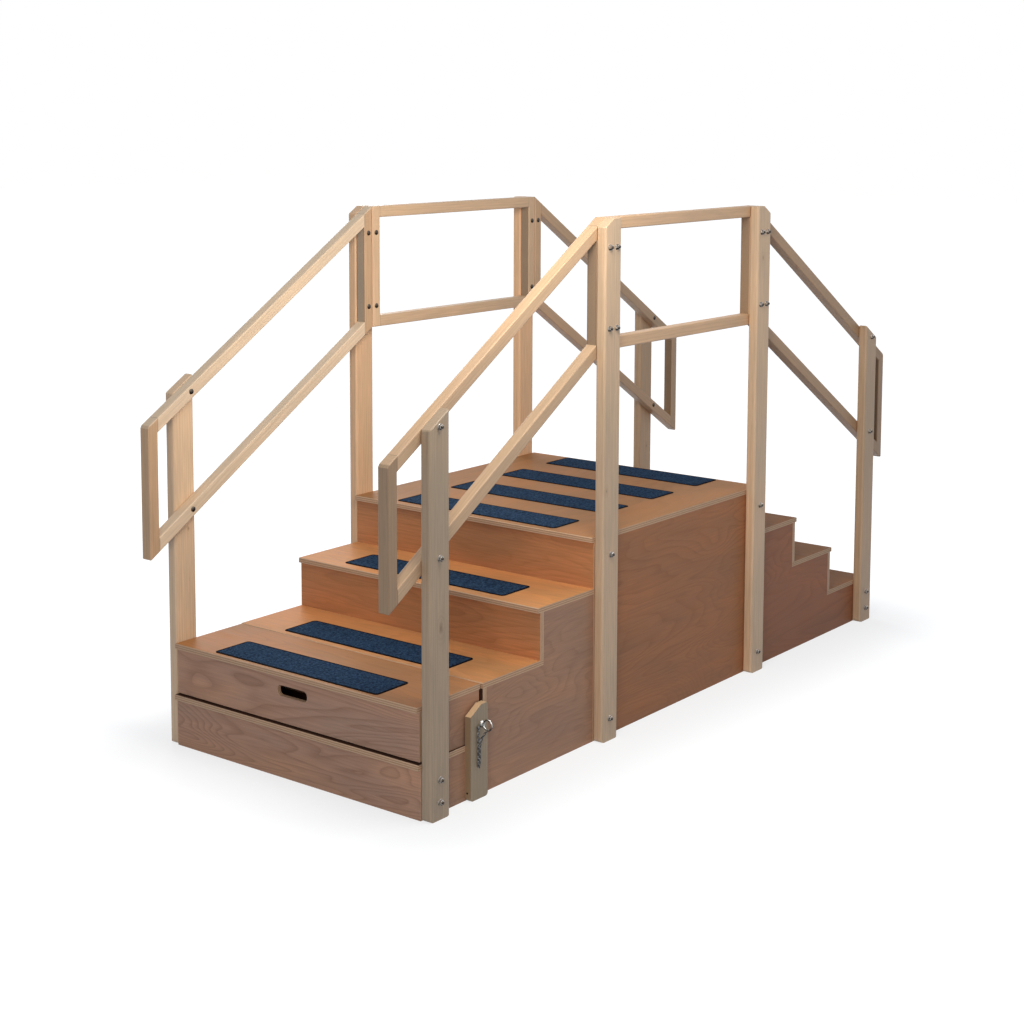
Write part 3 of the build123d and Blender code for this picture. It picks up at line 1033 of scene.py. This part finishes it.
# Pull pins: lengths in metres, and steps and sides of a full turn.
PIN_RADIUS = 0.005
PIN_STEPS = 24
COLLAR_RADIUS = 0.009
COLLAR_STEPS = 36
COLLAR_SEAT = 0.001  # how far the shaft's end stands in the collar
GROOVES = 3
GROOVE_DEPTH = 0.0006
GROOVE_HALF = 0.0005
FIRST_GROOVE = 0.0012
GROOVE_PITCH = 0.0018
RING_WIRE = 0.0025
RING_STEPS = 48
RING_SIDES = 12


def build_pull_pin(side, sign, metal):
    """Pin with a knurled collar, and a ring through its end."""
    ring, face, outer = pin_places(side, sign)
    nose = side_face(f"pull_pin_{side}", -sign)
    place = outward(ring.x, nose, ring.z, sign)
    reach = abs(face - nose)
    radius = outer - RING_WIRE
    collar_top = abs(ring.y - nose) - radius
    mesh = bmesh.new()
    shaft_top = reach + COLLAR_SEAT
    shaft = [(0, 0), (PIN_RADIUS - BEVEL, 0), (PIN_RADIUS, BEVEL), (PIN_RADIUS, shaft_top), (0, shaft_top)]
    revolve(mesh, shaft, place, PIN_STEPS)
    neck = COLLAR_RADIUS - GROOVE_DEPTH
    collar = [(0, reach), (neck, reach), (COLLAR_RADIUS, reach + GROOVE_DEPTH)]
    for band in range(GROOVES):
        base = reach + FIRST_GROOVE + GROOVE_PITCH * band
        collar += [(COLLAR_RADIUS, base), (neck, base + GROOVE_HALF), (COLLAR_RADIUS, base + 2 * GROOVE_HALF)]
    collar += [(COLLAR_RADIUS - BEVEL, collar_top), (0, collar_top)]
    revolve(mesh, collar, place, COLLAR_STEPS)
    centres = [ring + radius * Vector((0, cosine, sine)) for cosine, sine in around(RING_STEPS)]
    wire_loop(mesh, centres, RING_WIRE, RING_SIDES)
    piece = mesh_piece(f"pin_and_ring_{side}", mesh, [metal], f"pin_{side}")
    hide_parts(f"pull_pin_{side}")


# Where each keeper chain is fixed and how it hangs, in metres, and the steps and sides of its links.
CHAIN_SCREW_AHEAD = 0.017  # of the ring, towards the boarding end
CHAIN_SCREW_BELOW = 0.006  # the ring's middle
CHAIN_STAND_OFF = 0.004  # from the block's face
CHAIN_DROP = 0.106  # from the screw to the foot of the loop
CHAIN_LOOP = 0.0055  # width of the loop
CHAIN_LEAVES = 0.014  # below the ring, where the chain turns up to it
LINK_STEPS = 14
LINK_SIDES = 7

# Radius and height of the chain screw's shank and round head.
CHAIN_SCREW = (
    (0, 0), (0.0022, 0), (0.0022, 0.0045), (0.0048, 0.0046), (0.0046, 0.0058), (0.003, 0.0068), (0, 0.0072),
)


def chain_leads(ring, face, outer, sign):
    """Points that lead the keeper chain: from its screw down, round and up to the pull ring."""
    line = face + sign * CHAIN_STAND_OFF
    screw = Vector((ring.x - CHAIN_SCREW_AHEAD, line, ring.z - CHAIN_SCREW_BELOW))
    low = screw.z - CHAIN_DROP
    foot = ring.z - outer
    return [
        screw, Vector((screw.x, line, low)), Vector((screw.x + CHAIN_LOOP, line, low)),
        Vector((screw.x + CHAIN_LOOP, line, foot - CHAIN_LEAVES)), Vector((ring.x, ring.y, foot)),
    ]


# Points of the chain's line from one leading point to the next.
LEADS_RESOLUTION = 24


def smooth_line(leads):
    """Points of the smooth line that some points lead."""
    data = bpy.data.curves.new("leads", "CURVE")
    data.dimensions = "3D"
    data.resolution_u = LEADS_RESOLUTION
    spline = data.splines.new("NURBS")
    spline.points.add(len(leads) - 1)
    for point, lead in zip(spline.points, leads):
        point.co = (*lead, 1)
    spline.order_u = 3
    spline.use_endpoint_u = True
    guide = bpy.data.objects.new("leads", data)
    mesh = bpy.data.meshes.new_from_object(guide)
    line = [vertex.co.copy() for vertex in mesh.vertices]
    bpy.data.objects.remove(guide)
    bpy.data.curves.remove(data)
    bpy.data.meshes.remove(mesh)
    return line


def along(route, distance):
    """Point and direction at a distance along straight runs."""
    for start, end in zip(route, route[1:]):
        run = (end - start).length
        if distance <= run:
            return start.lerp(end, distance / run), (end - start).normalized()
        distance -= run
    return route[-1], (route[-1] - route[-2]).normalized()


def link_centres(centre, run, side_way, half_length, half_width):
    """Middle line of one link: two round ends, set apart along the chain's run."""
    centres = []
    for cosine, sine in around(LINK_STEPS):
        bow = half_width * cosine
        reach = (half_length - half_width) * (1 if sine > 0 else -1) + half_width * sine
        centres.append(centre + bow * side_way + reach * run)
    return centres


def build_chain(side, sign, metal):
    """Keeper chain of welded links. It hangs in a loop from its screw on the stairs to the pull ring."""
    sizes = fittings()
    ring, face, outer = pin_places(side, sign)
    leads = chain_leads(ring, face, outer, sign)
    route = smooth_line(leads)
    total = sum((b - a).length for a, b in zip(route, route[1:]))
    count = round(total / sizes.link_pitch)
    wire = sizes.link_wire
    half_width = sizes.link_width / 2 - wire
    half_length = total / count / 2 + wire
    mesh = bmesh.new()
    for index in range(count):
        centre, run = along(route, (index + 0.5) * total / count)
        side_way = Vector((0, 1, 0)) if index % 2 else Vector((1, 0, 0))
        side_way = (side_way - side_way.dot(run) * run).normalized()
        wire_loop(mesh, link_centres(centre, run, side_way, half_length, half_width), wire, LINK_SIDES)
    revolve(mesh, CHAIN_SCREW, outward(leads[0].x, face, leads[0].z, sign), SCREW_STEPS)
    piece = mesh_piece(f"keeper_chain_{side}", mesh, [metal], None)
    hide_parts("keeper_chains")
    start = leads[-2]
    end = leads[-1].copy()
    end.z = start.z
    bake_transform(piece)


def build_latches():
    """Latch blocks, their screws, the pull pins and the keeper chains."""
    dress_blocks()
    bright = metal_material("bright wire", hex_colour("DAD8D4"), hex_colour("302C2A"), 0.14, 0.28, 300.0)
    dull = metal_material("zinc chain", hex_colour("8E8E90"), hex_colour("2C2C30"), 0.3, 0.45, 400.0)
    dark = metal_material("dark screws", hex_colour("3A342F"), hex_colour("0E0C0B"), 0.4, 0.55, 220.0)
    build_block_screws(dark)
    for side, sign in SIDES.items():
        build_pull_pin(side, sign, bright)
        build_chain(side, sign, dull)


# Stage

FLOOR_SIZE = 60.0

# Half of the stairs' length and width. There the floor glows less, a painted shadow that is even over this
# area and fades to white past it; the floor's real soft shadow adds to it.
FOOTPRINT = (1.15, 0.45, 0.0)
PAINTED_SHADOW_REACH = 0.6
PAINTED_SHADOW_GLOW = 0.725
FLOOR_SHOWN = (0.265, 0.265, 0.262, 1)
FLOOR_BOUNCE = (0.55, 0.6, 0.7, 1)
SKY_COLOUR = (0.62, 0.77, 1.0, 1)
SKY_STRENGTH = 0.3

# Angles in degrees, lens and sensor in millimetres, shift as a share of the frame.
CAMERA_PLACE = (-4.6232, -3.4003, 1.8119)
CAMERA_YAW = 37.888
CAMERA_PITCH = 6.212
CAMERA_ROLL = 0.183
CAMERA_LENS = 64.26
CAMERA_SHIFT = -0.2
SENSOR_WIDTH = 36

STAIRS_MIDDLE = (-0.3, -0.1, 0.7)

# Name, place, size, power, colour and target of each softbox.
LAMPS = (
    ("key softbox", (-0.96, -0.85, 2.06), (0.7, 0.7), 16.5, (1.0, 0.96, 0.89), STAIRS_MIDDLE),
    ("front softbox", (-5.15, -2.85, 2.2), (1.8, 1.4), 86, (1.0, 0.97, 0.94), STAIRS_MIDDLE),
    ("side softbox", (0.75, -1.8, 1.75), (1.0, 0.8), 5, (0.93, 0.96, 1.0), STAIRS_MIDDLE),
    ("back softbox", (2.2, 4.0, 2.7), (2.0, 1.6), 72, (1.0, 0.98, 0.96), STAIRS_MIDDLE),
    ("inner softbox", (-0.9, -0.36, 1.22), (1.4, 0.9), 2.2, (1.0, 0.94, 0.86), (-0.9, 0.45, 1.22)),
)


def build_camera():
    """The camera, at the fitted place. Its yaw turns from +X towards +Y, its pitch is downwards."""
    data = bpy.data.cameras.new("camera")
    data.lens = CAMERA_LENS
    data.sensor_width = SENSOR_WIDTH
    data.shift_y = CAMERA_SHIFT
    camera = add_object("camera", data)
    turn = Matrix.Rotation(math.radians(CAMERA_YAW - 90), 4, "Z")
    tilt = Matrix.Rotation(math.radians(90 - CAMERA_PITCH), 4, "X")
    roll = Matrix.Rotation(math.radians(CAMERA_ROLL), 4, "Z")
    camera.matrix_world = Matrix.Translation(CAMERA_PLACE) @ turn @ tilt @ roll
    bpy.context.scene.camera = camera


def seen_directly(tree):
    """1 for the rays by which the camera, gloss and glass see a thing, and 0 for the rest."""
    path = tree.add("ShaderNodeLightPath").outputs
    seen = tree.math("MAXIMUM", path["Is Camera Ray"], path["Is Glossy Ray"])
    return tree.math("MAXIMUM", seen, path["Is Transmission Ray"])


def close_stage(tree, lighting, shown, output):
    """Shows one shader to the camera, gloss and glass, and lights the stairs by another."""
    shaders = {0: seen_directly(tree), 1: lighting.outputs[0], 2: shown.outputs[0]}
    chosen = tree.add("ShaderNodeMixShader", shaders)
    tree.add(output, {"Surface": chosen.outputs[0]})


def build_floor():
    """Pale floor that keeps the real soft shadow, adds a painted shadow by glowing less near the stairs, and
    fades to white away from them.
    """
    material, tree = new_material("pale floor")
    place = tree.add("ShaderNodeNewGeometry").outputs["Position"]
    beyond = tree.vector("SUBTRACT", tree.vector("ABSOLUTE", place), FOOTPRINT)
    distance = tree.vector("LENGTH", tree.vector("MAXIMUM", beyond, (0, 0, 0)))
    # Painted shadow: the floor's glow is lower near the stairs.
    glow_with_painted_shadow = tree.spread(distance, 0.0, PAINTED_SHADOW_REACH, PAINTED_SHADOW_GLOW, 1.0, smooth=True)
    bounce = tree.add("ShaderNodeBsdfDiffuse", {"Color": FLOOR_BOUNCE})
    shown = tree.add("ShaderNodeBsdfDiffuse", {"Color": FLOOR_SHOWN})
    light = tree.add("ShaderNodeEmission", {"Color": (1, 1, 1, 1), "Strength": glow_with_painted_shadow})
    both = tree.add("ShaderNodeAddShader", {0: shown.outputs[0], 1: light.outputs[0]})
    close_stage(tree, bounce, both, "ShaderNodeOutputMaterial")
    data = bpy.data.meshes.new("floor")
    half = FLOOR_SIZE / 2
    corners = [(-half, -half, 0), (half, -half, 0), (half, half, 0), (-half, half, 0)]
    data.from_pydata(corners, [], [(0, 1, 2, 3)])
    data.materials.append(material)
    floor = add_object("floor", data)


def build_world():
    """Soft bluish light all round, seen as white by the camera and in reflections."""
    world = bpy.data.worlds.new("studio")
    bpy.context.scene.world = world
    world.use_nodes = True
    world.node_tree.nodes.clear()
    tree = Tree(world.node_tree)
    soft = tree.add("ShaderNodeBackground", {"Color": SKY_COLOUR, "Strength": SKY_STRENGTH})
    white = tree.add("ShaderNodeBackground", {"Color": (1, 1, 1, 1), "Strength": 1.0})
    close_stage(tree, soft, white, "ShaderNodeOutputWorld")


def add_lamp(name, place, size, power, colour, target):
    """A softbox that faces a target and isn't seen itself."""
    data = bpy.data.lights.new(name, "AREA")
    data.shape = "RECTANGLE"
    data.size, data.size_y = size
    data.energy = power
    data.color = colour
    lamp = add_object(name, data)
    lamp.location = place
    lamp.rotation_mode = "QUATERNION"
    lamp.rotation_quaternion = (Vector(target) - Vector(place)).to_track_quat("-Z", "Y")
    lamp.visible_camera = False


def build_stage():
    """Camera, floor, world and softboxes."""
    build_camera()
    build_floor()
    build_world()
    for lamp in LAMPS:
        add_lamp(*lamp)
    bpy.context.scene.view_settings.view_transform = "Standard"


# Operators

class STAIRS_OT_boards(bpy.types.Operator):
    """Dress the front, side and riser boards in birch veneer"""

    bl_idname = "stairs.boards"
    bl_label = "Dress the boards"

    def execute(self, context):
        dress_boards()
        return {"FINISHED"}


class STAIRS_OT_treads(bpy.types.Operator):
    """Dress the treads and the deck in lacquered veneer"""

    bl_idname = "stairs.treads"
    bl_label = "Dress the treads"

    def execute(self, context):
        dress_treads()
        return {"FINISHED"}


class STAIRS_OT_posts(bpy.types.Operator):
    """Dress the posts in hardwood"""

    bl_idname = "stairs.posts"
    bl_label = "Dress the posts"

    def execute(self, context):
        dress_posts()
        return {"FINISHED"}


class STAIRS_OT_handrails(bpy.types.Operator):
    """Dress the handrail frames in hardwood with joined bars"""

    bl_idname = "stairs.handrails"
    bl_label = "Dress the handrails"

    def execute(self, context):
        dress_handrails()
        return {"FINISHED"}


class STAIRS_OT_grip_strips(bpy.types.Operator):
    """Lay gritty strips with a sealed border on the treads"""

    bl_idname = "stairs.grip_strips"
    bl_label = "Lay the grip strips"

    def execute(self, context):
        build_grip_strips()
        return {"FINISHED"}


class STAIRS_OT_bolts(bpy.types.Operator):
    """Set the bolts of the handrails and the posts"""

    bl_idname = "stairs.bolts"
    bl_label = "Set the bolts"

    def execute(self, context):
        build_bolts()
        return {"FINISHED"}


class STAIRS_OT_latches(bpy.types.Operator):
    """Fit the latch blocks, pull pins and keeper chains"""

    bl_idname = "stairs.latches"
    bl_label = "Fit the latches"

    def execute(self, context):
        build_latches()
        return {"FINISHED"}


class STAIRS_OT_stage(bpy.types.Operator):
    """Set up the floor, the lamps and the camera"""

    bl_idname = "stairs.stage"
    bl_label = "Set up the stage"

    def execute(self, context):
        build_stage()
        return {"FINISHED"}


OPERATORS = (
    STAIRS_OT_boards, STAIRS_OT_treads, STAIRS_OT_posts, STAIRS_OT_handrails,
    STAIRS_OT_grip_strips, STAIRS_OT_bolts, STAIRS_OT_latches, STAIRS_OT_stage,
)


class STAIRS_PT_finish(bpy.types.Panel):
    """Steps that dress the training stairs"""

    bl_idname = "STAIRS_PT_finish"
    bl_label = "Training stairs"
    bl_space_type = "VIEW_3D"
    bl_region_type = "UI"
    bl_category = "Stairs"

    def draw(self, context):
        for group in (context.scene.stair_finish, context.scene.stair_fittings):
            column = self.layout.column()
            for name in group.__annotations__:
                column.prop(group, name)
        for operator in OPERATORS:
            self.layout.operator(operator.bl_idname)


CLASSES = (StairFinish, StairFittings, *OPERATORS, STAIRS_PT_finish)


def register():
    """Makes the classes and the scene's settings known."""
    for item in CLASSES:
        bpy.utils.register_class(item)
    bpy.types.Scene.stair_finish = PointerProperty(type=StairFinish)
    bpy.types.Scene.stair_fittings = PointerProperty(type=StairFittings)


def unregister():
    """Takes the settings and the classes out again."""
    del bpy.types.Scene.stair_fittings
    del bpy.types.Scene.stair_finish
    for item in reversed(CLASSES):
        bpy.utils.unregister_class(item)


def main():
    """Runs each operator in order."""
    register()
    for operator in OPERATORS:
        group, name = operator.bl_idname.split(".")
        getattr(getattr(bpy.ops, group), name)()


if __name__ == "__main__":
    main()
